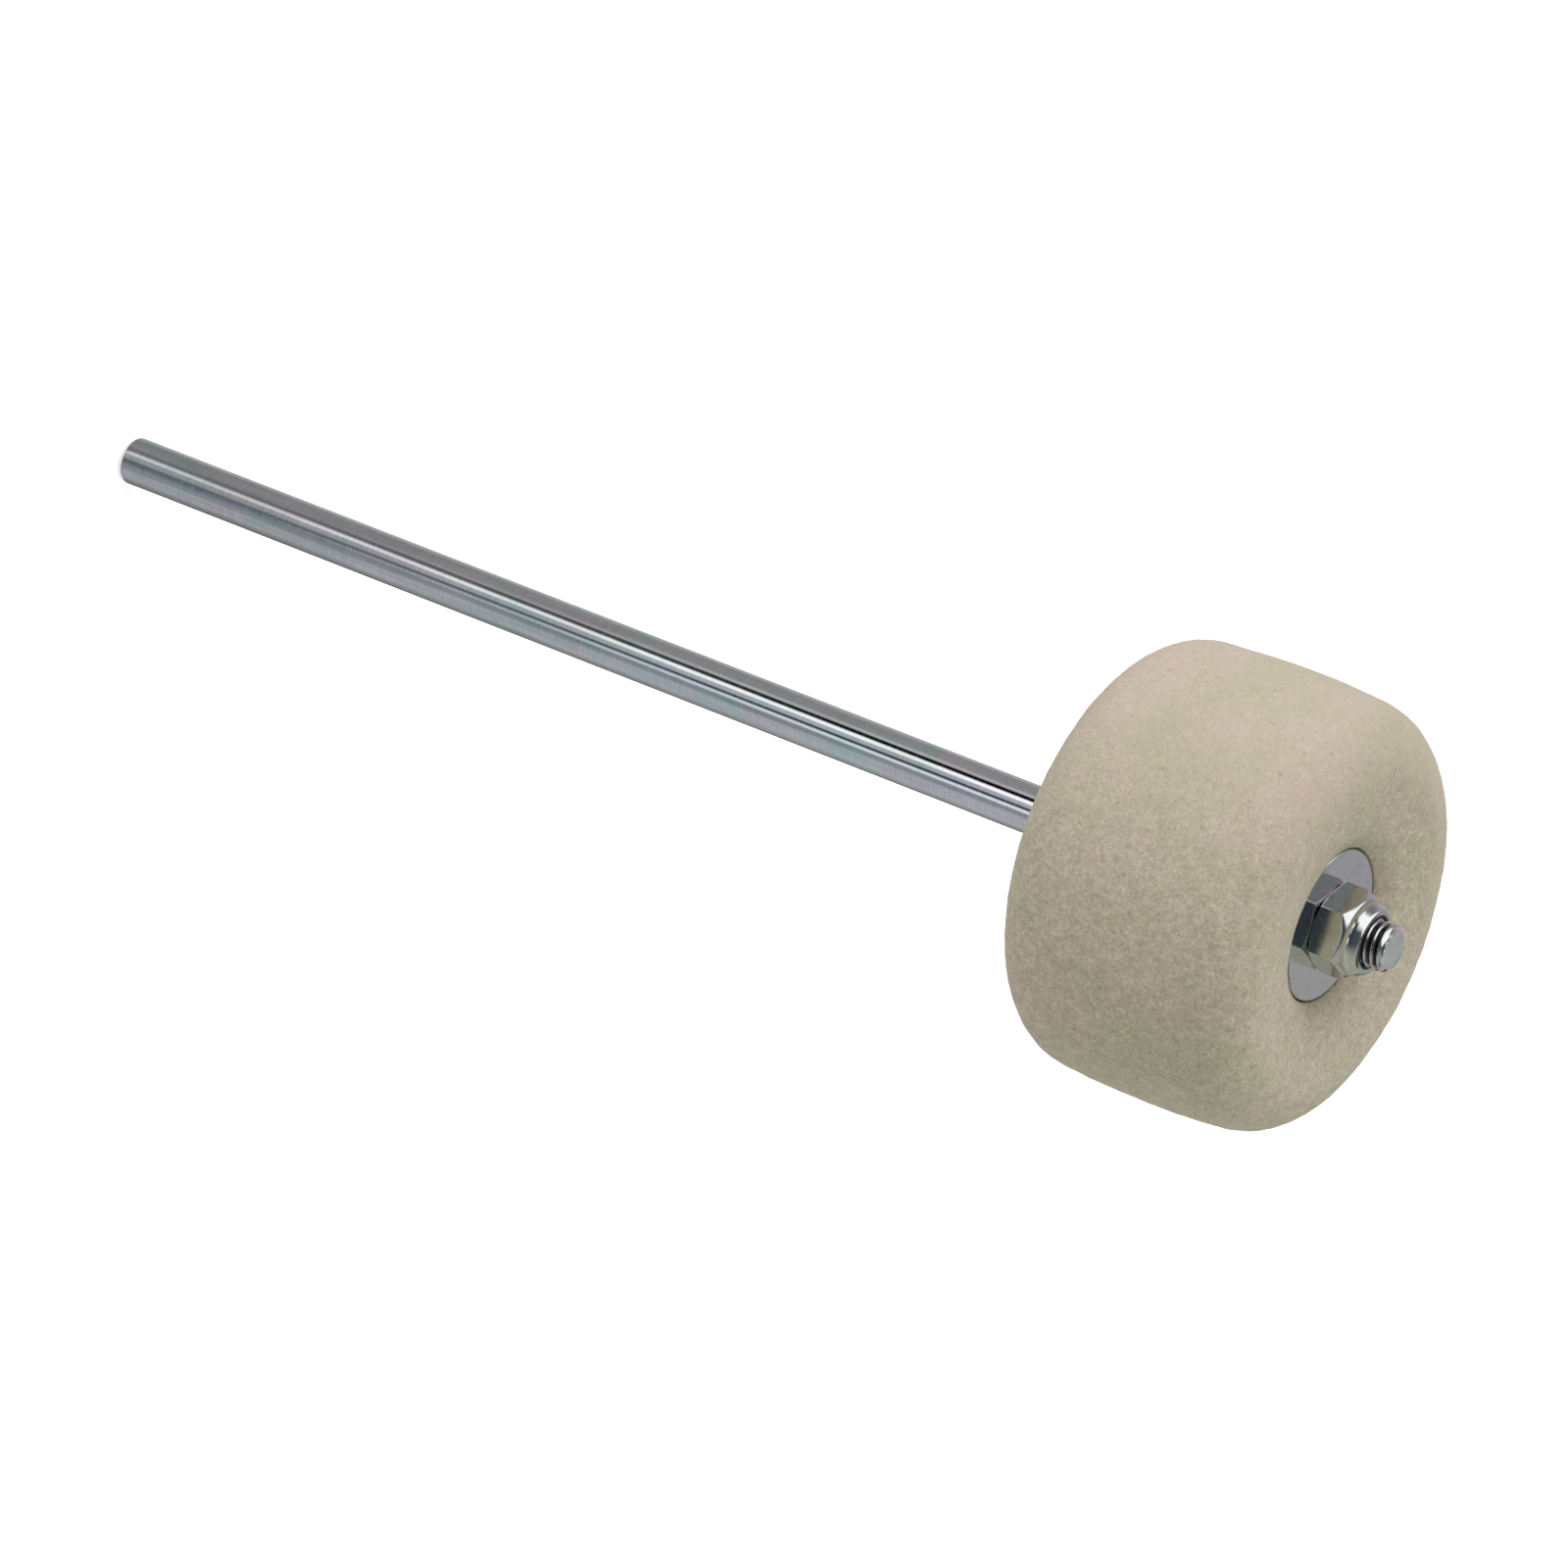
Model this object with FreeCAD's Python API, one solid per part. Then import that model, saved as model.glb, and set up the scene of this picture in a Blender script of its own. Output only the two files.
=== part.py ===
import FreeCAD, Part
import math
import os

# Bass drum beater, in millimetres. The origin is the centre of the shaft's free end,
# and +Z runs along the shaft to the felt head.

# Shaft: a straight rod with a plain shank and a threaded upper end.
shaft_diameter = 8.0
shank_length = 190.0
tip_chamfer = 0.8
crest_relief = 0.05
thread_runout = 2.0
thread_pitch = 1.25
thread_depth_share = 0.613
stud_projection = 3.5

# Hexagon that both nuts share, and the nuts' fit on the thread.
hex_across_flats = 13.0
hex_face_share = 0.96
hex_chamfer_slope_share = 0.577
nut_thread_clearance = 0.05
countersink_depth = 0.4
rear_nut_height = 6.5

# Lock nut: hexagon below, round collar above, rolled in over a captive ring.
lock_nut_height = 8.0
lock_nut_hex_height = 5.6
collar_diameter = 12.4
collar_wall = 0.9
collar_round = 1.0
lip_thickness = 0.6
lip_gap = 0.7
insert_thickness = 1.7
insert_clearance = 0.03

# Washers: wide and flat, with the rim broken on the outer face.
washer_diameter = 25.0
washer_thickness = 1.5
washer_bore_clearance = 0.25
washer_rim_chamfer = 0.3

# Felt head: a crowned drum whose faces are pulled in round the washers.
head_diameter = 72.2
head_hub_length = 35.0
dish_depth = 3.5
head_crown = 0.6
head_rim_round = 9.5
rim_round_limit_share = 0.45
felt_recess_clearance = 0.3
felt_bore_clearance = 0.1

# Length by which every cutting solid runs past the faces that it cuts.
overrun = 1.0

# Radii that several pieces share.
shaft_radius = shaft_diameter / 2
thread_radius = shaft_radius - crest_relief
nut_bore_radius = thread_radius + nut_thread_clearance
nut_mouth_radius = nut_bore_radius + countersink_depth + overrun
washer_radius = washer_diameter / 2
washer_bore_radius = thread_radius + washer_bore_clearance
collar_radius = collar_diameter / 2
insert_seat_radius = collar_radius - collar_wall

# Heights of the seats along the shaft, each stacked on the one before.
rear_nut_base = shank_length + thread_runout
rear_washer_base = rear_nut_base + rear_nut_height
rear_felt_seat = rear_washer_base + washer_thickness
front_felt_seat = rear_felt_seat + head_hub_length
lock_nut_base = front_felt_seat + washer_thickness
lock_nut_top = lock_nut_base + lock_nut_height
stud_end = lock_nut_top + stud_projection

lip_base = lock_nut_top - lip_thickness
insert_base = lip_base - insert_thickness

hex_sides = 6
full_turn = 360
up = 1
down = -1
axis = FreeCAD.Vector(0, 0, 1)
origin = FreeCAD.Vector(0, 0, 0)


def at(radius, height):
    return FreeCAD.Vector(radius, 0, height)


def lines(points):
    return [Part.makeLine(start, end) for start, end in zip(points, points[1:])]


def revolve(edges):
    outline = Part.Wire(Part.__sortEdges__(edges))
    return Part.makeSolid(Part.Face(outline).revolve(origin, axis, full_turn))


def turned(outline):
    points = [at(radius, height) for radius, height in outline]
    return revolve(lines(points + points[:1]))


def arc_about(centre, radius, start_angle, end_angle):
    points = []
    for angle in (start_angle, (start_angle + end_angle) / 2, end_angle):
        points.append(centre + at(math.cos(angle), math.sin(angle)) * radius)
    return Part.Arc(*points).toShape()


def make_shaft():
    thread_depth = thread_depth_share * thread_pitch
    return turned([
        (0, 0),
        (shaft_radius - tip_chamfer, 0),
        (shaft_radius, tip_chamfer),
        (shaft_radius, shank_length),
        (thread_radius, rear_nut_base),
        (thread_radius, stud_end - thread_depth),
        (thread_radius - thread_depth, stud_end),
        (0, stud_end),
    ])


def hexagon(base, height):
    corner_radius = hex_across_flats / 2 / math.cos(math.pi / hex_sides)
    corners = []
    for side in range(hex_sides):
        angle = 2 * math.pi * side / hex_sides
        direction = FreeCAD.Vector(math.cos(angle), math.sin(angle), 0)
        corners.append(direction * corner_radius + axis * base)
    prism = Part.Face(Part.makePolygon(corners + corners[:1])).extrude(axis * height)
    # The cones at both ends trim the six corners into arcs.
    face_radius = hex_face_share * hex_across_flats / 2
    chamfer = (corner_radius - face_radius) * hex_chamfer_slope_share
    barrel = turned([
        (0, base),
        (face_radius, base),
        (corner_radius, base + chamfer),
        (corner_radius, base + height - chamfer),
        (face_radius, base + height),
        (0, base + height),
    ])
    return prism.common(barrel)


def countersink(face, outward):
    # A cone of 45 degrees, from past the nut's face in to the bore.
    return [
        (nut_mouth_radius, face + outward * overrun),
        (nut_bore_radius, face - outward * countersink_depth),
    ]


def make_rear_nut():
    lower_end = countersink(rear_nut_base, down)
    upper_end = countersink(rear_washer_base, up)
    bore = turned([
        (0, rear_nut_base - overrun),
        *lower_end,
        *reversed(upper_end),
        (0, rear_washer_base + overrun),
    ])
    return hexagon(rear_nut_base, rear_nut_height).cut(bore)


def make_lock_nut():
    roll_centre = at(collar_radius - collar_round, lock_nut_top - collar_round)
    roll = arc_about(roll_centre, collar_round, 0, math.pi / 2)
    collar = revolve([roll] + lines([
        roll.lastVertex().Point,
        at(0, lock_nut_top),
        at(0, lock_nut_base),
        at(collar_radius, lock_nut_base),
        roll.firstVertex().Point,
    ]))
    lip_radius = thread_radius + lip_gap
    bore = turned([
        (0, lock_nut_base - overrun),
        *countersink(lock_nut_base, down),
        (nut_bore_radius, insert_base),
        (insert_seat_radius, insert_base),
        (insert_seat_radius, lip_base),
        (lip_radius, lip_base),
        (lip_radius, lock_nut_top + overrun),
        (0, lock_nut_top + overrun),
    ])
    return hexagon(lock_nut_base, lock_nut_hex_height).fuse(collar).cut(bore)


def make_lock_nut_insert():
    return turned([
        (nut_bore_radius, insert_base),
        (insert_seat_radius - insert_clearance, insert_base),
        (insert_seat_radius - insert_clearance, lip_base),
        (nut_bore_radius, lip_base),
    ])


def make_washer(seat, outward):
    outer_face = seat + outward * washer_thickness
    return turned([
        (washer_bore_radius, seat),
        (washer_radius, seat),
        (washer_radius, outer_face - outward * washer_rim_chamfer),
        (washer_radius - washer_rim_chamfer, outer_face),
        (washer_bore_radius, outer_face),
    ])


def make_felt_head():
    head_radius = head_diameter / 2
    bore_radius = thread_radius + felt_bore_clearance
    recess_radius = washer_radius + felt_recess_clearance
    rim_round = min(head_rim_round, rim_round_limit_share * (head_radius - recess_radius))
    middle = (rear_felt_seat + front_felt_seat) / 2
    # The side is one long arc through the middle of the head, tangent to the round of each rim.
    rim_height = head_hub_length / 2 + washer_thickness + dish_depth - rim_round
    rim_centre = at(head_radius - head_crown - rim_round, middle + rim_height)
    centre_distance = (head_crown ** 2 + rim_height ** 2) / (2 * head_crown)
    side_radius = centre_distance + rim_round
    side_angle = math.asin(rim_height / centre_distance)
    side = arc_about(at(head_radius - side_radius, middle), side_radius, -side_angle, side_angle)
    # The face falls straight from the round of the rim to the edge of the washer.
    washer_edge = at(recess_radius, lock_nut_base)
    fall = rim_centre - washer_edge
    face_slope = math.atan2(fall.z, fall.x) + math.asin(rim_round / fall.Length)
    rim = arc_about(rim_centre, rim_round, side_angle, face_slope + math.pi / 2)
    front = [rim] + lines([
        rim.lastVertex().Point,
        washer_edge,
        at(recess_radius, front_felt_seat),
        at(bore_radius, front_felt_seat),
    ])
    rear = [edge.mirror(at(0, middle), axis) for edge in front]
    bore = Part.makeLine(at(bore_radius, rear_felt_seat), at(bore_radius, front_felt_seat))
    return revolve(front + rear + [side, bore])


pieces = {
    "shaft": make_shaft(),
    "rear_nut": make_rear_nut(),
    "rear_washer": make_washer(rear_felt_seat, down),
    "felt_head": make_felt_head(),
    "front_washer": make_washer(front_felt_seat, up),
    "lock_nut": make_lock_nut(),
    "lock_nut_insert": make_lock_nut_insert(),
}

os.makedirs("parts", exist_ok=True)
for name, shape in pieces.items():
    shape.exportStep("parts/" + name + ".step")
    print(name, "valid" if shape.isValid() else "INVALID", round(shape.Volume, 2), shape.BoundBox)
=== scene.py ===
import bpy
import bmesh
import math
from mathutils import Matrix, Vector, noise


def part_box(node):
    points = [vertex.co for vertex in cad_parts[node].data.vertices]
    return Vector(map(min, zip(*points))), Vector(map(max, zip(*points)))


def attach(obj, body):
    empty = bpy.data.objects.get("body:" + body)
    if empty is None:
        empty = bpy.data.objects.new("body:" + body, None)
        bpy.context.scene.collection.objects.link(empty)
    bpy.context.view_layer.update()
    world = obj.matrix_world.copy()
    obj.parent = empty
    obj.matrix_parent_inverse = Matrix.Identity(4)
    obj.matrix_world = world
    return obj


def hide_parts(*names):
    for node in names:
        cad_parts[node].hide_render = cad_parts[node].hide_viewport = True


# Bass drum beater: felt head on a plated rod, washers and nuts either side of it.
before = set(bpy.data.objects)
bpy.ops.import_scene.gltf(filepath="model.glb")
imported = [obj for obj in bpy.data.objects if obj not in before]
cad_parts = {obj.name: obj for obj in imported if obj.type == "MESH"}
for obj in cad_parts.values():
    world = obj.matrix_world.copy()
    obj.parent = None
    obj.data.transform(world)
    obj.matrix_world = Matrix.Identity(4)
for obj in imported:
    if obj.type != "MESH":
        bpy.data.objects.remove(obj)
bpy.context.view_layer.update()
mm = 0.001
fullTurn = 2 * math.pi
print("frame loaded:", ", ".join(sorted(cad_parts)))


# mesh helpers that every piece shares

meshing = {
    "roundSteps": 5,
    "holdShare": 0.4,        # flat kept beside a round, as a share of its radius
    "weldGap": 0.002 * mm,   # points nearer than this become one
    "crease": 40,            # degrees, sharper edges stay crisp
}


def filletOutline(corners, holdShare=meshing["holdShare"]):
    # corners are (radius, height, round), once round the section of a ring
    steps = meshing["roundSteps"]
    outline = []
    for place, (radius, height, rounding) in enumerate(corners):
        corner = Vector((radius, height))
        if not rounding:
            outline.append(corner)
            continue
        arrive = (corner - Vector(corners[place - 1][:2])).normalized()
        leave = (Vector(corners[(place + 1) % len(corners)][:2]) - corner).normalized()
        turn = math.atan2(arrive.x * leave.y - arrive.y * leave.x, arrive.dot(leave))
        run = rounding * math.tan(abs(turn) / 2)
        start = corner - arrive * run
        side = Vector((-arrive.y, arrive.x)) * math.copysign(rounding, turn)
        middle = start + side
        outline.append(start - arrive * rounding * holdShare)   # keeps the flat beside it flat
        for step in range(steps + 1):
            outline.append(middle + Matrix.Rotation(turn * step / steps, 2) @ -side)
        outline.append(corner + leave * (run + rounding * holdShare))
    return outline


def splitRuns(outline, longest):
    # adds rows so that no run of a closed outline is longer than this
    rows = []
    for place, point in enumerate(outline):
        after = outline[(place + 1) % len(outline)]
        parts = max(1, math.ceil((after - point).length / longest))
        rows += [point.lerp(after, part / parts) for part in range(parts)]
    return rows


def evenTurns(columns):
    return [fullTurn * column / columns for column in range(columns)]


def skinGrid(name, columns, ringed, wrapped):
    # columns of points round the shaft; ringed sections close on themselves,
    # wrapped columns join the last to the first, and others meet there already
    mesh = bpy.data.meshes.new(name)
    rows = len(columns[0])
    points = [point for column in columns for point in column]
    quads = []
    for column in range(len(columns) if wrapped else len(columns) - 1):
        here, there = column * rows, (column + 1) % len(columns) * rows
        for row in range(rows if ringed else rows - 1):
            above = (row + 1) % rows
            quads.append((here + row, there + row, there + above, here + above))
    mesh.from_pydata(points, [], quads)
    shell = bmesh.new()
    shell.from_mesh(mesh)
    bmesh.ops.remove_doubles(shell, verts=shell.verts, dist=meshing["weldGap"])
    bmesh.ops.dissolve_degenerate(shell, edges=shell.edges, dist=meshing["weldGap"])
    bmesh.ops.recalc_face_normals(shell, faces=shell.faces)
    shell.to_mesh(mesh)
    shell.free()
    return mesh


def sweepRing(name, outline, turns, shape=None):
    columns = []
    for turn in turns:
        column = []
        for radius, height in outline:
            reach = shape(radius, turn) if shape else radius
            column.append((reach * math.cos(turn), reach * math.sin(turn), height))
        columns.append(column)
    return skinGrid(name, columns, ringed=True, wrapped=True)


def addObject(name, data):
    thing = bpy.data.objects.new(name, data)
    bpy.context.scene.collection.objects.link(thing)
    return thing


def placePiece(mesh, node, body, material, crease=meshing["crease"]):
    mesh.shade_smooth()
    mesh.set_sharp_from_angle(angle=math.radians(crease))
    mesh.materials.append(material)
    piece = addObject(mesh.name, mesh)
    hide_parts(node)
    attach(piece, body)
    print("made", piece.name, "with", len(mesh.polygons), "faces")
    return piece


# node helpers

noTint = (1, 1, 1)
whiteColour = (1, 1, 1, 1)
grainRange = (0.25, 0.75)   # where a noise spends most of its time
wearRange = (0.3, 0.7)


def newMaterial(name):
    material = bpy.data.materials.new(name)
    material.use_nodes = True
    tree = material.node_tree
    tree.nodes.clear()
    print("mixing", name)
    return material, tree


def addNode(tree, kind, inputs=None, **settings):
    node = tree.nodes.new(kind)
    for key, value in settings.items():
        setattr(node, key, value)
    for key, value in (inputs or {}).items():
        if isinstance(value, bpy.types.NodeSocket):
            tree.links.new(value, node.inputs[key])
        else:
            node.inputs[key].default_value = value
    return node


def addSurface(tree, inputs):
    shader = addNode(tree, "ShaderNodeBsdfPrincipled", inputs)
    addNode(tree, "ShaderNodeOutputMaterial", {"Surface": shader.outputs["BSDF"]})


def mixShaders(tree, share, first, second):
    return addNode(tree, "ShaderNodeMixShader", {0: share, 1: first, 2: second}).outputs[0]


def addRamp(tree, factor, stops):
    ramp = addNode(tree, "ShaderNodeValToRGB", {"Fac": factor})
    elements = ramp.color_ramp.elements
    for place, (position, colour) in enumerate(stops):
        element = elements[place] if place < 2 else elements.new(position)   # it starts with two
        element.position = position
        element.color = (*colour, 1)
    return ramp.outputs["Color"]


def mixColour(tree, factor, first, second, blend="MIX"):
    # sockets 0, 6 and 7 are the factor and the two colours
    mix = addNode(tree, "ShaderNodeMix", data_type="RGBA", blend_type=blend)
    for place, value in ((0, factor), (6, first), (7, second)):
        if isinstance(value, bpy.types.NodeSocket):
            tree.links.new(value, mix.inputs[place])
        elif place == 0:
            mix.inputs[place].default_value = value
        else:
            mix.inputs[place].default_value = (*value, 1)
    return mix.outputs[2]


def tintBy(tree, colour, tint, share=1.0):
    return mixColour(tree, share, colour, tint, "MULTIPLY")


def dimBy(tree, colour, level):
    grey = addNode(tree, "ShaderNodeCombineColor", {"Red": level, "Green": level, "Blue": level})
    return tintBy(tree, colour, grey.outputs["Color"])


def addNoise(tree, where, scale, detail, rough=0.5, distortion=0.0):
    return addNode(tree, "ShaderNodeTexNoise", {
        "Vector": where,
        "Scale": scale,
        "Detail": detail,
        "Roughness": rough,
        "Distortion": distortion,
    }).outputs["Fac"]


def stretch(tree, where, scale):
    return addNode(tree, "ShaderNodeMapping", {"Vector": where, "Scale": scale}).outputs["Vector"]


def remap(tree, value, fromLow, fromHigh, toLow, toHigh):
    return addNode(tree, "ShaderNodeMapRange", {
        "Value": value,
        "From Min": fromLow,
        "From Max": fromHigh,
        "To Min": toLow,
        "To Max": toHigh,
    }).outputs["Result"]


def shadeBy(tree, colour, grain, shade):
    # multiplies a colour by a grain, between two levels
    return dimBy(tree, colour, remap(tree, grain, *grainRange, *shade))


def plainMath(tree, operation, first, second):
    return addNode(tree, "ShaderNodeMath", {0: first, 1: second}, operation=operation).outputs[0]


def vectorMath(tree, operation, *inputs):
    values = dict(enumerate(inputs))
    return addNode(tree, "ShaderNodeVectorMath", values, operation=operation).outputs


def fromAxis(tree, where):
    # distance from the shaft's centre line
    flat = vectorMath(tree, "MULTIPLY", where, (1, 1, 0))["Vector"]
    return vectorMath(tree, "LENGTH", flat)["Value"]


def acrossShaft(tree, where, degrees):
    # distance from that line towards one side
    turn = math.radians(degrees)
    return vectorMath(tree, "DOT_PRODUCT", where, (math.cos(turn), math.sin(turn), 0))["Value"]


def addBump(tree, height, depth, strength, under=None):
    inputs = {"Height": height, "Distance": depth, "Strength": strength}
    if under:
        inputs["Normal"] = under
    return addNode(tree, "ShaderNodeBump", inputs).outputs["Normal"]


# plating: bright zinc over ground steel, with a passing tint

plating = {
    "tintNoise": (3, 0.6, 0.6),        # detail, roughness and distortion
    "castNoise": (2, 0.5, 0.8),
    "lineNoise": (3, 0.6),
    "ringNoise": (3, 0.6),
    "tintStops": (0.34, 0.50, 0.66),   # cool, plain, lavender
    "castStops": (0.36, 0.50, 0.64),   # green, none, pink
    "ringStrength": 0.5,
}

rodFinish = {
    "plain": (0.68, 0.69, 0.70),
    "cool": (0.596, 0.692, 0.712),
    "lavender": (0.71, 0.668, 0.745),
    "green": (0.955, 1.00, 0.97),      # a second tint, over the first
    "pink": (1.025, 0.98, 0.99),
    "tintScale": (160, 160, 90),       # per metre, long patches along the rod
    "castScale": (260, 260, 160),
    "lineScale": (900, 900, 45),       # fine lines along the rod
    "ringScale": (420, 420, 3100),     # grinding marks round it
    "lineShade": (0.86, 1.10),
    "ringShade": (0.88, 1.10),
    "ringDepth": 0.004 * mm,
    "wear": (0.04, 0.11),              # roughness, from smooth to dull
}

hardwareFinish = {
    "plain": (0.69, 0.70, 0.71),
    "cool": (0.63, 0.68, 0.68),
    "lavender": (0.71, 0.685, 0.73),
    "green": (0.96, 1.00, 0.96),
    "pink": (1.02, 0.98, 0.99),
    "tintScale": (95, 95, 95),
    "castScale": (170, 170, 170),
    "lineScale": (700, 700, 700),
    "ringScale": (1100, 1100, 1100),
    "lineShade": (0.92, 1.04),
    "ringShade": (0.95, 1.04),
    "ringDepth": 0.006 * mm,
    "wear": (0.10, 0.18),
}

# painted shade in the thread roots, standing in for their shadow and dark reflections; the stud's
# end face is tinted brighter
threadPaintedShade = {
    "colour": (0.03, 0.03, 0.034),
    "radii": (3.35 * mm, 3.85 * mm),   # painted shade, black in the root and none on the crest
    "rise": (191 * mm, 193 * mm),      # fades in past the shank
    "fall": (246.9 * mm, 247.2 * mm),  # and out at the turned end of the stud
    "cutEnd": (1.17, 1.27, 1.11),      # brighter steel on its cut face
    "cutRise": (247.7 * mm, 247.95 * mm),
}

# painted reflection: the washers and nuts are tinted greener on one side, where they mirror the
# felt and the nut
reflectedGreen = {
    "tint": (1.02, 1.05, 0.96),
    "turn": -13,                       # degrees from +X, the middle of that side
    "fade": (-2 * mm, 4 * mm),         # across the washers
}


# painted shade: blackens the roots of the thread as if shaded, and tints the stud's end face
# brighter
def paintThreadShade(tree, where, colour):
    height = addNode(tree, "ShaderNodeSeparateXYZ", {"Vector": where}).outputs["Z"]
    deep = remap(tree, fromAxis(tree, where), *threadPaintedShade["radii"], 1, 0)
    for limits, levels in ((threadPaintedShade["rise"], (0, 1)), (threadPaintedShade["fall"], (1, 0))):
        deep = plainMath(tree, "MULTIPLY", deep, remap(tree, height, *limits, *levels))
    cut = remap(tree, height, *threadPaintedShade["cutRise"], 0, 1)
    colour = tintBy(tree, colour, threadPaintedShade["cutEnd"], cut)
    return mixColour(tree, deep, colour, threadPaintedShade["colour"])


# painted reflection: greener on one side of the washers and nuts
def paintReflectedGreen(tree, where, colour):
    across = acrossShaft(tree, where, reflectedGreen["turn"])
    share = remap(tree, across, *reflectedGreen["fade"], 0, 1)
    return tintBy(tree, colour, reflectedGreen["tint"], share)


def makePlating(name, finish, lastTouch):
    material, tree = newMaterial(name)
    where = addNode(tree, "ShaderNodeTexCoord").outputs["Object"]
    tint, cast, lines, rings = [
        addNoise(tree, stretch(tree, where, finish[layer + "Scale"]), 1, *plating[layer + "Noise"])
        for layer in ("tint", "cast", "line", "ring")
    ]
    tints = (finish["cool"], finish["plain"], finish["lavender"])
    casts = (finish["green"], noTint, finish["pink"])
    colour = addRamp(tree, tint, zip(plating["tintStops"], tints))
    colour = tintBy(tree, colour, addRamp(tree, cast, zip(plating["castStops"], casts)))
    colour = shadeBy(tree, colour, lines, finish["lineShade"])
    colour = shadeBy(tree, colour, rings, finish["ringShade"])
    addSurface(tree, {
        "Base Color": lastTouch(tree, where, colour),
        "Metallic": 1.0,
        "Roughness": remap(tree, rings, *wearRange, *finish["wear"]),
        "Normal": addBump(tree, rings, finish["ringDepth"], plating["ringStrength"]),
    })
    return material


# the rod gets painted shade in the roots of its thread
platedRod = makePlating("platedRod", rodFinish, paintThreadShade)
# the washers and nuts get a painted reflection on one side
platedHardware = makePlating("platedHardware", hardwareFinish, paintReflectedGreen)


# shaft: plain shank, then a rolled right-hand thread to the stud end

shaft = {
    "tipChamfer": 0.8 * mm,
    "tipRound": 0.3 * mm,
    "shoulderRound": 0.6 * mm,   # rolled from the chamfer into the shank
    "tipHold": 0.05,
    "shankLength": 190.0 * mm,
    "threadPitch": 1.25 * mm,
    "threadDepth": 0.766 * mm,
    "crestRelief": 0.05 * mm,
    "threadFadeIn": 2.0 * mm,
    "crestShare": 0.125,         # flats of the thread, as shares of its pitch
    "rootShare": 0.25,
    "holdRow": 0.3 * mm,         # keeps the shank straight up to the thread
    "columns": 96,
    "crease": 70,
}

# one flank runs between these shares of the pitch, counted from the middle of a crest
flankStart = shaft["crestShare"] / 2
flankEnd = 0.5 - shaft["rootShare"] / 2


def threadDip(phase):
    # how deep the thread is cut, from 0 on its crest to 1 in its root
    fromCrest = abs((phase + 0.5) % 1 - 0.5)
    return min(1.0, max(0.0, (fromCrest - flankStart) / (flankEnd - flankStart)))


def makeShaft():
    low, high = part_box("shaft")
    radius = high.x
    start, end = shaft["shankLength"], high.z
    crest = radius - shaft["crestRelief"]
    root = crest - shaft["threadDepth"]
    pitch = shaft["threadPitch"]

    def cutRadius(height, phase):
        cut = min(1.0, (height - start) / shaft["threadFadeIn"])
        bare = radius + (crest - radius) * cut
        return min(bare - shaft["threadDepth"] * cut * threadDip(phase), root + end - height)

    marks = [0, flankStart, (flankStart + flankEnd) / 2, flankEnd]
    marks += [1 - mark for mark in reversed(marks[1:])]
    turnsNeeded = math.ceil((end - start) / pitch) + 1
    tip = filletOutline([
        (0, low.z, 0),
        (radius - shaft["tipChamfer"], low.z, shaft["tipRound"]),
        (radius, low.z + shaft["tipChamfer"], shaft["shoulderRound"]),
        (radius, start - shaft["holdRow"], 0),
        (radius, start, 0),
        (0, start, 0),
    ], holdShare=shaft["tipHold"])[:-1]
    columns = []
    for turn in evenTurns(shaft["columns"]) + [fullTurn]:
        column = [tuple(point) for point in tip]
        for thread in range(-1, turnsNeeded):
            for mark in marks:
                rise = (thread + mark + turn / fullTurn) * pitch
                height = min(end, max(start, start + rise))
                column.append((cutRadius(height, mark), height))
        column += [(root - shaft["holdRow"], end), (0, end)]
        columns.append([(r * math.cos(turn), r * math.sin(turn), z) for r, z in column])
    mesh = skinGrid("beater_shaft", columns, ringed=False, wrapped=False)
    placePiece(mesh, "shaft", "shaft", platedRod, shaft["crease"])


makeShaft()


# washers: pressed discs with rolled rims

washers = {
    "boreRadius": 4.2 * mm,
    "rimRound": 0.32 * mm,
    "backRound": 0.2 * mm,
    "boreRound": 0.12 * mm,
    "columns": 128,
}


def makeWasher(node, name, body, facesUp):
    low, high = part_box(node)
    outer, inner = (high.z, low.z) if facesUp else (low.z, high.z)
    outline = filletOutline([
        (washers["boreRadius"], inner, 0),
        (high.x, inner, washers["backRound"]),
        (high.x, outer, washers["rimRound"]),
        (washers["boreRadius"], outer, washers["boreRound"]),
    ])
    mesh = sweepRing(name, outline, evenTurns(washers["columns"]))
    placePiece(mesh, node, body, platedHardware)


makeWasher("rear_washer", "beater_rear_washer", "shaft", facesUp=False)
makeWasher("front_washer", "beater_front_washer", "front_washer", facesUp=True)


# nuts: one hexagon for both, corners turned down at the ends

nuts = {
    "sides": 6,
    "acrossFlats": 13.0 * mm,
    "endFaceShare": 0.96,      # round end face, as a share of the flats
    "blankShare": 1.02,        # turned blank, as a share of the corners
    "freeSlope": 0.9,          # turning of the corners, height to depth
    "seatSlope": 0.45,         # the same on the side of the washer
    "boreRadius": 4.0 * mm,
    "boreMouth": 0.4 * mm,
    "edgeRound": 0.12 * mm,
    "cornerPower": 120,        # higher gives sharper corners
    "cornerTurns": (0, 0.35, 0.7, 1.1, 1.6, 2.4, 4, 8, 14, 21),   # degrees from each corner
    "rowStep": 0.14 * mm,
}

collar = {
    "hexHeight": 5.6 * mm,
    "radius": 6.2 * mm,
    "domeRise": 1.4 * mm,      # the collar is rolled in over this height
    "domeRound": 1.9 * mm,
    "lipFlat": 0.75 * mm,
    "rollRound": 0.85 * mm,
    "wall": 0.9 * mm,
    "lipThickness": 0.6 * mm,
    "lipRadius": 4.42 * mm,
    "lipRound": 0.18 * mm,
    "holdShare": 0.1,
    "ringThickness": 1.7 * mm,
}

cornerStep = 360 / nuts["sides"]   # degrees from one corner to the next


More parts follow.
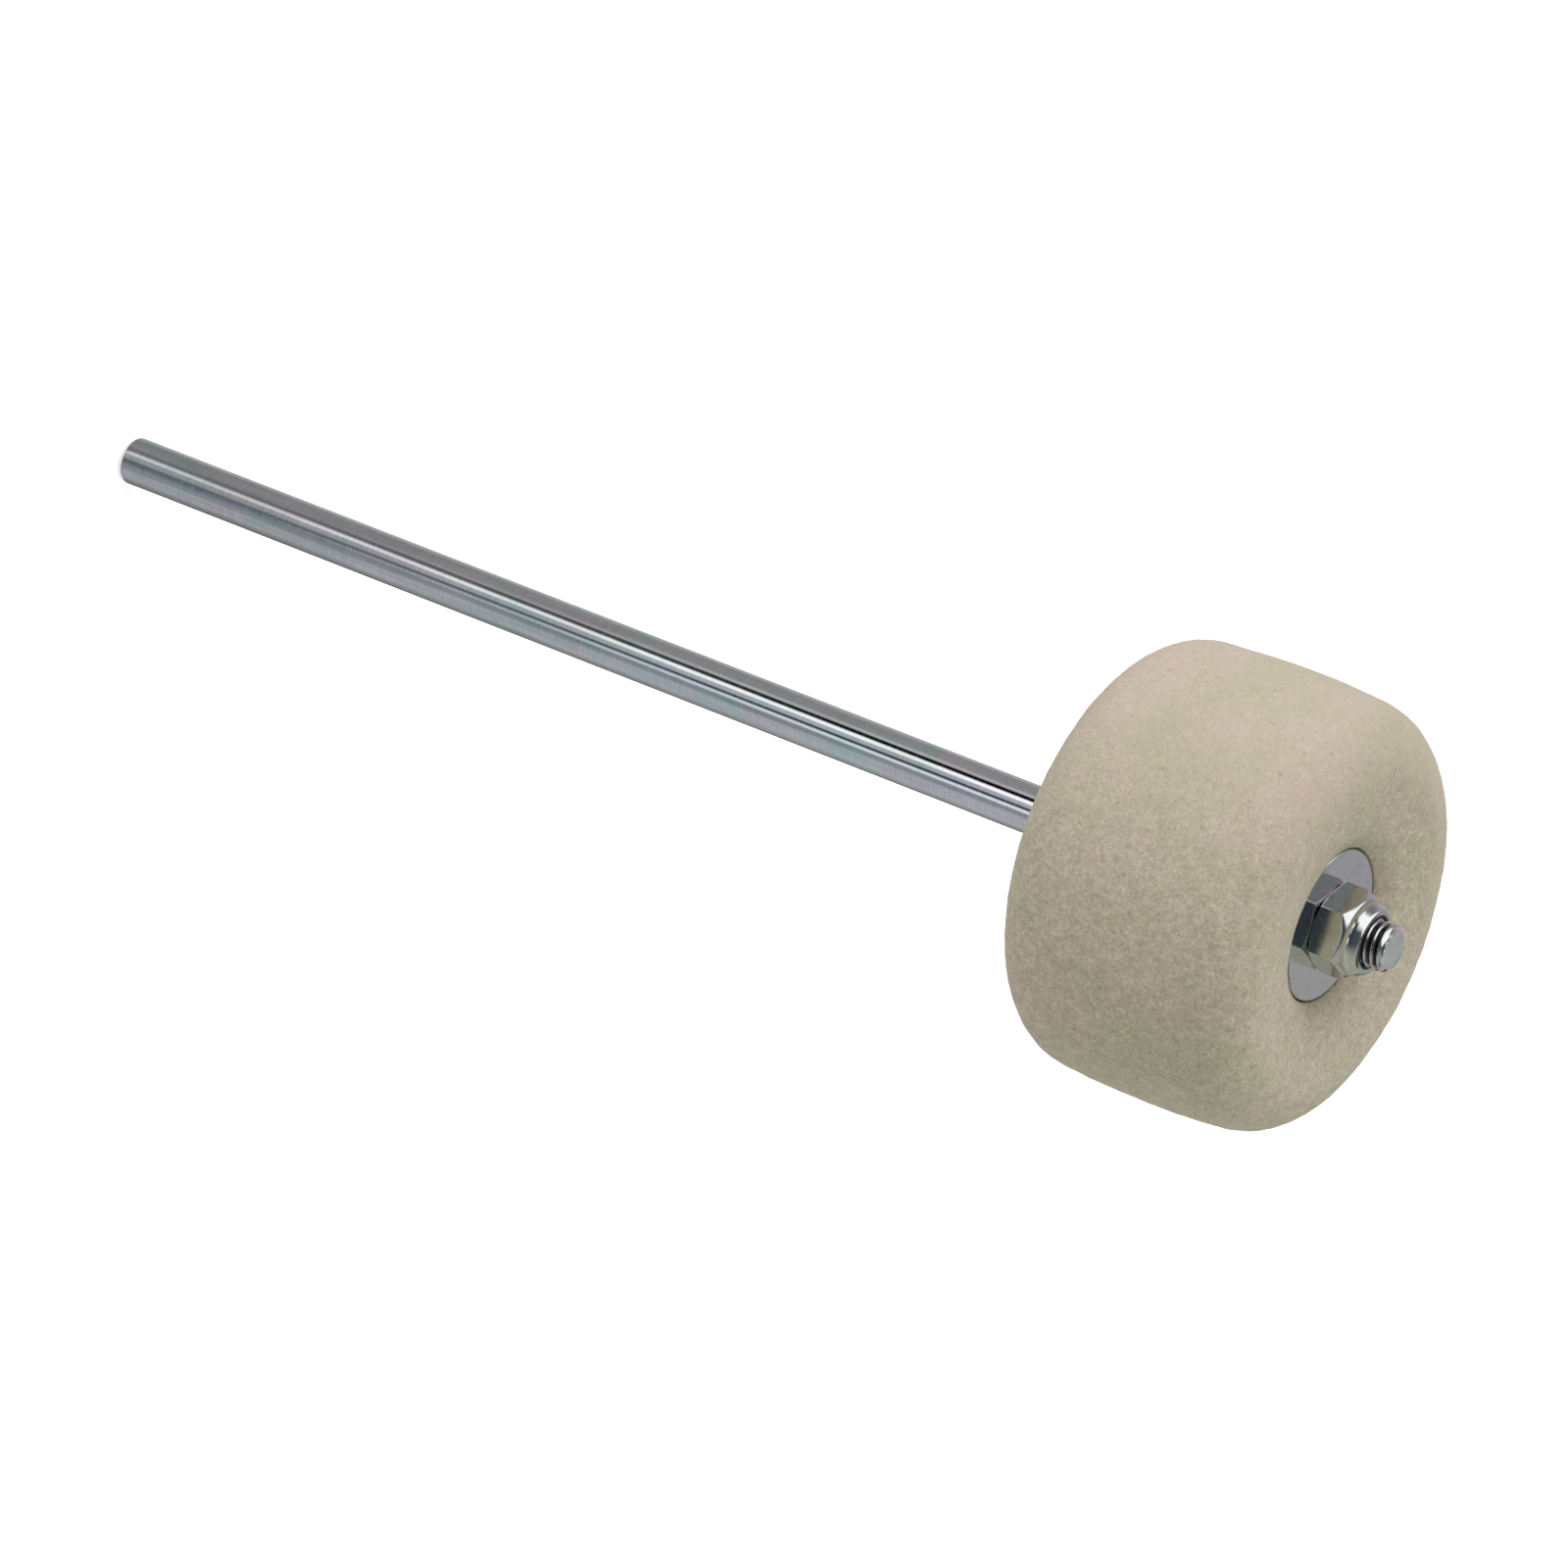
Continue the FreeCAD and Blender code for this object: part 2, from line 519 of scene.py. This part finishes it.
def hexReach(radius, turn):
    # the round blank, cut by the six flats with softened corners
    half = nuts["acrossFlats"] / 2
    if radius < half * nuts["endFaceShare"] - nuts["edgeRound"]:
        return radius
    power = nuts["cornerPower"]
    total = (1 / radius) ** power
    for flat in range(nuts["sides"]):
        toward = math.cos(turn - math.radians(cornerStep * flat + cornerStep / 2)) / half
        if toward > 0:
            total += toward ** power
    return total ** (-1 / power)


def hexTurns():
    # columns crowd towards the corners
    turns = []
    for corner in range(nuts["sides"]):
        first, last = cornerStep * corner, cornerStep * (corner + 1)
        turns += [first + turn for turn in nuts["cornerTurns"]]
        turns += [first + cornerStep / 2]
        turns += [last - turn for turn in reversed(nuts["cornerTurns"][1:])]
    return [math.radians(turn) for turn in turns]


def hexSide(base, top, baseSlope, topSlope):
    # turned blank of a hexagon, from its lower end face to its upper one
    half = nuts["acrossFlats"] / 2
    face = half * nuts["endFaceShare"]
    corner = half / math.cos(math.radians(cornerStep / 2)) * nuts["blankShare"]
    return [
        (face, base, nuts["edgeRound"]),
        (corner, base + (corner - face) * baseSlope, 0),
        (corner, top - (corner - face) * topSlope, 0),
        (face, top, nuts["edgeRound"]),
    ]


def makeRearNut():
    low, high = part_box("rear_nut")
    bore, mouth = nuts["boreRadius"], nuts["boreMouth"]
    blank = hexSide(low.z, high.z, nuts["freeSlope"], nuts["seatSlope"])
    outline = filletOutline([(bore + mouth, low.z, 0)] + blank + [
        (bore + mouth, high.z, 0),
        (bore, high.z - mouth, 0),
        (bore, low.z + mouth, 0),
    ])
    rows = splitRuns(outline, nuts["rowStep"])
    mesh = sweepRing("beater_rear_nut", rows, hexTurns(), hexReach)
    placePiece(mesh, "rear_nut", "shaft", platedHardware)


def makeLockNut():
    low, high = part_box("lock_nut")
    bore, mouth = nuts["boreRadius"], nuts["boreMouth"]
    seat = collar["radius"] - collar["wall"]
    lipBase = high.z - collar["lipThickness"]
    ringBase = lipBase - collar["ringThickness"]
    hexTop = low.z + collar["hexHeight"]
    blank = hexSide(low.z, hexTop, nuts["seatSlope"], nuts["freeSlope"])
    outline = filletOutline([(bore + mouth, low.z, 0)] + blank + [
        (collar["radius"], hexTop, 0),
        (collar["radius"], high.z - collar["domeRise"], collar["domeRound"]),
        (collar["lipRadius"] + collar["lipFlat"], high.z, collar["rollRound"]),
        (collar["lipRadius"], high.z, collar["lipRound"]),
        (collar["lipRadius"], lipBase, 0),
        (seat, lipBase, 0),
        (seat, ringBase, 0),
        (bore, ringBase, 0),
        (bore, low.z + mouth, 0),
    ], holdShare=collar["holdShare"])
    rows = splitRuns(outline, nuts["rowStep"])
    mesh = sweepRing("beater_lock_nut", rows, hexTurns(), hexReach)
    placePiece(mesh, "lock_nut", "lock_nut", platedHardware)


makeRearNut()
makeLockNut()


# locking ring: dark nylon, held under the lip of the collar

lockRing = {
    "boreRadius": 4.0 * mm,
    "edgeRound": 0.12 * mm,
    "swellRadius": 4.38 * mm,   # pushed up by the thread to fill the mouth of the lip
    "swellRise": 0.55 * mm,
    "columns": 96,
    "colour": (0.012, 0.013, 0.016),
    "mould": (0.022, 0.023, 0.027),
    "grainNoise": (2500, 3),    # scale per metre, detail
    "grainDepth": 0.01 * mm,
    "grainStrength": 0.3,
    "wear": (0.35, 0.5),        # roughness, from smooth to dull
}


def makeNylon():
    material, tree = newMaterial("darkNylon")
    where = addNode(tree, "ShaderNodeTexCoord").outputs["Object"]
    grain = addNoise(tree, where, *lockRing["grainNoise"])
    addSurface(tree, {
        "Base Color": mixColour(tree, grain, lockRing["colour"], lockRing["mould"]),
        "Roughness": remap(tree, grain, *wearRange, *lockRing["wear"]),
        "Normal": addBump(tree, grain, lockRing["grainDepth"], lockRing["grainStrength"]),
    })
    return material


def makeLockRing():
    low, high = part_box("lock_nut_insert")
    edge, swell = lockRing["edgeRound"], lockRing["swellRadius"]
    crest = high.z + lockRing["swellRise"]
    outline = filletOutline([
        (lockRing["boreRadius"], low.z, edge),
        (high.x, low.z, edge),
        (high.x, high.z, edge),
        (swell, high.z, 0),
        (swell, crest, edge),
        (lockRing["boreRadius"], crest, edge),
    ])
    mesh = sweepRing("beater_lock_ring", outline, evenTurns(lockRing["columns"]))
    placePiece(mesh, "lock_nut_insert", "lock_nut", makeNylon())


makeLockRing()


# felt head: one pressed block, crowned side, faces pulled in round the washers

felt = {
    "boreRadius": 4.05 * mm,
    "recessGap": 0.3 * mm,      # from a washer's rim to the felt round it
    "recessRound": 0.45 * mm,
    "seatRound": 0.2 * mm,
    "crown": 0.6 * mm,
    "rimRound": 9.5 * mm,
    "shoulderLift": 1.4 * mm,   # how far the face stands over a washer before it dips
    "shoulderRound": 9.0 * mm,
    "rowStep": 0.5 * mm,
    "columns": 440,
    "crease": 70,
    "lumps": (                  # size and height of each layer
        (13.0 * mm, 0.14 * mm),
        (2.6 * mm, 0.08 * mm),
        (1.1 * mm, 0.07 * mm),
    ),
    "calmRadius": 14.0 * mm,    # the felt lies still inside this radius
    "calmFade": 4.0 * mm,
    "fill": 1.0,
}

wool = {
    "beige": (0.512, 0.468, 0.338),
    "greenish": (0.488, 0.464, 0.318),
    "pinkish": (0.535, 0.471, 0.356),
    "patchStops": (0.34, 0.50, 0.64),    # greenish, beige, pinkish
    "patchNoise": (58, 4, 0.6, 0.5),     # scale per metre, detail, roughness, distortion
    "fleckGreen": (0.98, 1.00, 0.955),   # small flecks over the patches
    "fleckPink": (1.012, 0.995, 1.00),
    "fleckStops": (0.34, 0.50, 0.66),    # green, none, pink
    "fleckNoise": (230, 2, 0.5, 0.8),
    "clumpNoise": (480, 2, 0.6),
    "clumpShade": (0.88, 1.12),
    "grainNoise": (1500, 3, 0.7),
    "grainShade": (0.72, 1.28),
    "shadedSide": -23,                   # degrees from +X, the side the key leaves in shade, where the grain is painted strongest
    "shadeFade": (-12 * mm, 14 * mm),   # across the head, from the lit side to the shaded side
    "faceFade": (30 * mm, 23 * mm),      # from the rims in to the faces
    "litShare": 0.35,                 # grain left on the lit side
    "kempNoise": (620, 1),               # sparse dark hairs in the wool
    "kempFrom": (0.72, 0.78),
    "kempDark": 0.80,
    "washerFade": (13 * mm, 23 * mm),     # darker near the washers, from their rims out
    "washerDark": 0.93,
    "fibreScale": (900, 900, 1700),
    "fibreNoise": (3, 0.6, 0.3),
    "napDepth": 0.4 * mm,
    "napStrength": 0.5,
    "roughness": 0.95,
    "gloss": 0.12,
    "sheen": 0.12,
    "sheenRoughness": 0.5,
    "sheenTint": (1.0, 0.97, 0.92, 1.0),
}


def shadedGrainShare(tree, where):
    # painted shade in the pits of the nap: the grain keeps its full contrast on the side the key
    # leaves in shade and on both faces, and only part of it on the lit side
    across = acrossShaft(tree, where, wool["shadedSide"])
    bySide = remap(tree, across, *wool["shadeFade"], wool["litShare"], 1)
    byFace = remap(tree, fromAxis(tree, where), *wool["faceFade"], 0, 1)
    return plainMath(tree, "MAXIMUM", bySide, byFace)


def makeWool():
    material, tree = newMaterial("pressedWool")
    where = addNode(tree, "ShaderNodeTexCoord").outputs["Object"]
    patches, flecks, clumps, grain, kemp = [
        addNoise(tree, where, *wool[layer + "Noise"])
        for layer in ("patch", "fleck", "clump", "grain", "kemp")
    ]
    fibres = addNoise(tree, stretch(tree, where, wool["fibreScale"]), 1, *wool["fibreNoise"])
    tints = (wool["greenish"], wool["beige"], wool["pinkish"])
    fleckTints = (wool["fleckGreen"], noTint, wool["fleckPink"])
    colour = addRamp(tree, patches, zip(wool["patchStops"], tints))
    colour = tintBy(tree, colour, addRamp(tree, flecks, zip(wool["fleckStops"], fleckTints)))
    grained = shadeBy(tree, colour, clumps, wool["clumpShade"])
    grained = shadeBy(tree, grained, grain, wool["grainShade"])
    # painted shade: more grain contrast on the shaded side
    colour = mixColour(tree, shadedGrainShare(tree, where), colour, grained)
    colour = dimBy(tree, colour, remap(tree, kemp, *wool["kempFrom"], 1, wool["kempDark"]))
    nearWashers = remap(tree, fromAxis(tree, where), *wool["washerFade"], wool["washerDark"], 1)
    colour = dimBy(tree, colour, nearWashers)
    relief = None
    for layer in (clumps, fibres, grain):
        relief = addBump(tree, layer, wool["napDepth"], wool["napStrength"], relief)
    addSurface(tree, {
        "Base Color": colour,
        "Roughness": wool["roughness"],
        "Specular IOR Level": wool["gloss"],
        "Sheen Weight": wool["sheen"],
        "Sheen Roughness": wool["sheenRoughness"],
        "Sheen Tint": wool["sheenTint"],
        "Normal": relief,
    })
    return material


def arcRows(centre, radius, first, last):
    steps = math.ceil(abs(last - first) * radius / felt["rowStep"])
    turns = [first + (last - first) * step / steps for step in range(steps + 1)]
    return [centre + radius * Vector((math.cos(turn), math.sin(turn))) for turn in turns]


def feltOutline():
    low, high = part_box("felt_head")
    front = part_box("front_washer")
    middle = (low.z + high.z) / 2
    rim, crown = felt["rimRound"], felt["crown"]
    lift, shoulder = felt["shoulderLift"], felt["shoulderRound"]
    # the side is one long arc, tangent to the round of each rim
    rimUp = high.z - middle - rim
    rimCentre = Vector((high.x - crown - rim, rimUp))
    sideReach = (crown ** 2 + rimUp ** 2) / (2 * crown)
    sideTurn = math.asin(rimUp / sideReach)
    sideCentre = Vector((high.x - sideReach - rim, 0))
    # the face falls from the rim, then over a round shoulder to the edge of the washer
    edge = Vector((front[1].x + felt["recessGap"], front[1].z - middle))
    fall = rimCentre - edge - Vector((0, lift))
    slope = math.atan2(fall.y, fall.x) + math.asin(rim / fall.length)
    faceTurn = slope + math.pi / 2
    edgeTurn = faceTurn + math.acos(1 - lift * math.cos(slope) / shoulder)
    shoulderCentre = edge - shoulder * Vector((math.cos(edgeTurn), math.sin(edgeTurn)))
    upper = arcRows(sideCentre, sideReach + rim, 0, sideTurn)[:-1]
    upper += arcRows(rimCentre, rim, sideTurn, faceTurn)
    dip = arcRows(shoulderCentre, shoulder, faceTurn, edgeTurn)[:-1]
    steps = math.ceil((upper[-1] - dip[0]).length / felt["rowStep"])
    upper += [upper[-1].lerp(dip[0], step / steps) for step in range(1, steps)] + dip
    # then down the wall of the recess, in along the washer's seat and down the bore
    seat = front[0].z - middle
    ends = [
        (upper[-1].x, upper[-1].y, 0),
        (edge.x, edge.y, felt["recessRound"]),
        (edge.x, seat, felt["seatRound"]),
        (felt["boreRadius"], seat, felt["seatRound"]),
        (felt["boreRadius"], 0, 0),
    ]
    upper += filletOutline(ends)[1:]
    upper = [point for point in upper if point.y > 0]
    lower = [Vector((point.x, -point.y)) for point in reversed(upper)]
    rows = [Vector((high.x, 0))] + upper + [Vector((felt["boreRadius"], 0))] + lower
    return [point + Vector((0, middle)) for point in rows]


def roughenFelt(mesh):
    # lumps and nap stand off the pressed form, and die out at the washers
    shell = bmesh.new()
    shell.from_mesh(mesh)
    shell.normal_update()
    moves = []
    for vert in shell.verts:
        reach = math.hypot(vert.co.x, vert.co.y)
        loose = min(1.0, max(0.0, (reach - felt["calmRadius"]) / felt["calmFade"]))
        lift = sum(height * noise.noise(vert.co / size) for size, height in felt["lumps"])
        moves.append((vert, vert.normal * lift * loose))
    for vert, move in moves:
        vert.co += move
    shell.to_mesh(mesh)
    shell.free()


def makeFelt():
    mesh = sweepRing("beater_felt", feltOutline(), evenTurns(felt["columns"]))
    roughenFelt(mesh)
    piece = placePiece(mesh, "felt_head", "head", makeWool(), felt["crease"])


makeFelt()


# camera: set from the shaft's place and slant in the picture

cameraSet = {
    "lens": 200.0,
    "sensor": 36.0,
    "clip": (0.01, 100),        # metres
    "tipRight": -109.36 * mm,   # free end of the shaft, from the lens
    "tipDown": -54.471 * mm,
    "tipAhead": 1460.538 * mm,
    "shaftFall": 21.494,        # degrees, down to the right in the picture
    "shaftNear": 28.157,        # degrees, towards the camera
    "facing": -103.0,           # side of the shaft that faces the camera, degrees from +X
}


def pointTo(side, rise):
    side, rise = math.radians(side), math.radians(rise)
    level = math.cos(rise)
    return Vector((level * math.cos(side), level * math.sin(side), math.sin(rise)))


def placeCamera():
    ahead = Vector((0, 0, 1))   # the picture's own axes are right, down and ahead
    along = pointTo(cameraSet["shaftFall"], -cameraSet["shaftNear"])
    toward = (along * ahead.dot(along) - ahead).normalized()
    across = along.cross(toward)
    turn = Matrix.Rotation(math.radians(cameraSet["facing"]), 3, "Z")
    toFrame = turn @ Matrix((toward, across, along))
    tip = Vector((cameraSet["tipRight"], cameraSet["tipDown"], cameraSet["tipAhead"]))
    axes = toFrame @ Matrix.Diagonal((1, -1, -1))
    data = bpy.data.cameras.new("beaterCamera")
    data.lens = cameraSet["lens"]
    data.sensor_width = cameraSet["sensor"]
    data.clip_start, data.clip_end = cameraSet["clip"]
    camera = addObject("beaterCamera", data)
    camera.matrix_world = Matrix.Translation(toFrame @ -tip) @ axes.to_4x4()
    bpy.context.scene.camera = camera
    print("camera at", [round(value, 3) for value in camera.matrix_world.translation])


placeCamera()


# studio: wide key and fill, even dome, white floor; the plating sees strip lights and dark cards

studio = {
    "key": {"side": -59, "rise": 18, "level": 2.52, "soft": 74, "tint": (1.03, 0.96, 1.1)},
    "fill": {"side": 151, "rise": 34, "level": 1.06, "soft": 60, "tint": (1.0, 1.0, 1.0)},
    "domeLevel": 0.38,
    "backLevel": 1.0,      # white to the camera
    "floorWidth": 30.0,
    "floorColour": (0.9, 0.9, 0.9, 1.0),
    "floorLift": 0.50,     # white to the camera, shadow kept
    "floorDrop": 0.05 * mm,
    "cardLevel": 1.4,
}

plainCard = (1.00, 1.00, 1.00)
coolCard = (0.96, 1.00, 1.05)
tealCard = (0.91, 1.00, 1.05)
blueCard = (0.84, 1.00, 1.20)
navyCard = (0.88, 1.00, 1.38)
greenCard = (0.90, 1.03, 0.97)
mauveCard = (1.00, 0.97, 1.03)
warmCard = (1.00, 0.96, 0.84)

# cards round the shaft: first and last degree from the camera's side, brightness, tint
headCards = [
    (-180, -140, 0.36, plainCard),
    (-116, -67, 0.235, plainCard),
    (-56, -52, 0.43, plainCard),
    (-44.5, -33.5, 0.0, plainCard),
    (-26.5, -18, 1.0, plainCard),
    (-12, 1, 0.40, tealCard),
    (7, 12, 0.03, blueCard),
    (20.5, 24, 0.76, tealCard),
    (33, 46, 0.24, tealCard),
    (58, 108, 0.38, coolCard),
    (128, 140, 0.27, plainCard),
    (158, 180, 0.06, plainCard),
]

tipCards = [
    (-180, -140, 0.36, plainCard),
    (-116, -62, 0.215, plainCard),
    (-47, -38, 0.15, plainCard),
    (-26, -21, 0.62, plainCard),
    (-14, 0, 0.30, plainCard),
    (13, 21, 0.115, blueCard),
    (41, 51, 0.235, tealCard),
    (60, 100, 0.335, coolCard),
    (128, 140, 0.185, plainCard),
    (158, 180, 0.06, plainCard),
]

underCards = [
    (-180, -160, 0.68, plainCard),
    (-146, -140, 0.36, plainCard),
    *tipCards[1:-1],
    (148, 152, 0.12, plainCard),
    (162, 180, 0.68, plainCard),
]

domeCards = [
    (-180, -130, 0.29, mauveCard),
    (-110, -84, 0.18, greenCard),
    (-72, -44, 1.00, plainCard),
    (-34, 30, 0.036, navyCard),
    (62, 70, 0.32, warmCard),
    (110, 140, 0.32, warmCard),
    (168, 180, 0.29, mauveCard),
]

lampCards = [
    (-180, -156, 0.04, plainCard),
    (-136, -40, 1.00, plainCard),
    (-14, 36, 0.06, blueCard),
    (80, 110, 0.30, plainCard),
    (126, 180, 0.04, plainCard),
]

floorCard = (0.66, 0.66, 0.66)   # straight below

# each tier of cards, and the rise over which it takes over from the one below
cardTiers = [
    (underCards, -0.97, -0.92),
    (tipCards, -0.66, -0.60),
    (headCards, -0.53, -0.475),
    (domeCards, 0.04, 0.16),
    (lampCards, 0.50, 0.62),
]


def cardRamp(tree, turn, cards):
    # the camera's side is in the middle of the ramp
    stops = []
    for first, last, level, tint in cards:
        colour = tuple(level * share for share in tint)
        stops += [(first / 360 + 0.5, colour), (last / 360 + 0.5, colour)]
    return addRamp(tree, turn, stops)


def addGlow(tree, colour, level):
    return addNode(tree, "ShaderNodeBackground", {"Color": colour, "Strength": level}).outputs[0]


def makeWorld():
    world = bpy.data.worlds.new("beaterStudio")
    bpy.context.scene.world = world
    world.use_nodes = True
    tree = world.node_tree
    tree.nodes.clear()
    where = addNode(tree, "ShaderNodeTexCoord").outputs["Generated"]
    facing = (0, 0, -math.radians(cameraSet["facing"]))
    turned = addNode(tree, "ShaderNodeMapping", {"Vector": where, "Rotation": facing})
    where = turned.outputs["Vector"]
    sweep = addNode(tree, "ShaderNodeTexGradient", {"Vector": where}, gradient_type="RADIAL")
    rise = addNode(tree, "ShaderNodeSeparateXYZ", {"Vector": where}).outputs["Z"]
    cards = floorCard
    for tier, low, high in cardTiers:
        share = remap(tree, rise, low, high, 0, 1)
        cards = mixColour(tree, share, cards, cardRamp(tree, sweep.outputs["Fac"], tier))
    ray = addNode(tree, "ShaderNodeLightPath").outputs
    mirrored = addGlow(tree, cards, studio["cardLevel"])
    dome = addGlow(tree, whiteColour, studio["domeLevel"])
    back = addGlow(tree, whiteColour, studio["backLevel"])
    light = mixShaders(tree, ray["Is Glossy Ray"], dome, mirrored)
    light = mixShaders(tree, ray["Is Camera Ray"], light, back)
    addNode(tree, "ShaderNodeOutputWorld", {"Surface": light})
    world.cycles.sampling_method = "NONE"   # the dome is even, so it needs no map


def makeLamp(name, lamp):
    source = pointTo(cameraSet["facing"] + lamp["side"], lamp["rise"])
    data = bpy.data.lights.new(name, "SUN")
    data.energy = lamp["level"]
    data.color = lamp["tint"]
    data.angle = math.radians(lamp["soft"])
    light = addObject(name, data)
    light.rotation_euler = (-source).to_track_quat("-Z", "Y").to_euler()
    light.visible_glossy = False   # the plating sees the cards instead


def makeFloor():
    material, tree = newMaterial("paleFloor")
    base = addNode(tree, "ShaderNodeBsdfDiffuse", {"Color": studio["floorColour"]})
    ray = addNode(tree, "ShaderNodeLightPath").outputs
    level = plainMath(tree, "MULTIPLY", ray["Is Camera Ray"], studio["floorLift"])
    lift = addNode(tree, "ShaderNodeEmission", {"Strength": level})
    both = addNode(tree, "ShaderNodeAddShader", {0: base.outputs[0], 1: lift.outputs[0]})
    under = addNode(tree, "ShaderNodeNewGeometry").outputs["Backfacing"]
    clear = addNode(tree, "ShaderNodeBsdfTransparent")   # from below, the beater shows through
    sheet = mixShaders(tree, under, both.outputs[0], clear.outputs[0])
    addNode(tree, "ShaderNodeOutputMaterial", {"Surface": sheet})
    mesh = bpy.data.meshes.new("floor")
    plane = bmesh.new()
    bmesh.ops.create_grid(plane, x_segments=1, y_segments=1, size=studio["floorWidth"] / 2)
    plane.to_mesh(mesh)
    plane.free()
    mesh.materials.append(material)
    floor = addObject("floor", mesh)
    floor.location.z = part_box("shaft")[0].z - studio["floorDrop"]
    floor.visible_glossy = False


makeWorld()
makeLamp("beaterKey", studio["key"])
makeLamp("beaterFill", studio["fill"])
makeFloor()
bpy.context.scene.view_settings.view_transform = "Standard"
print("studio ready")
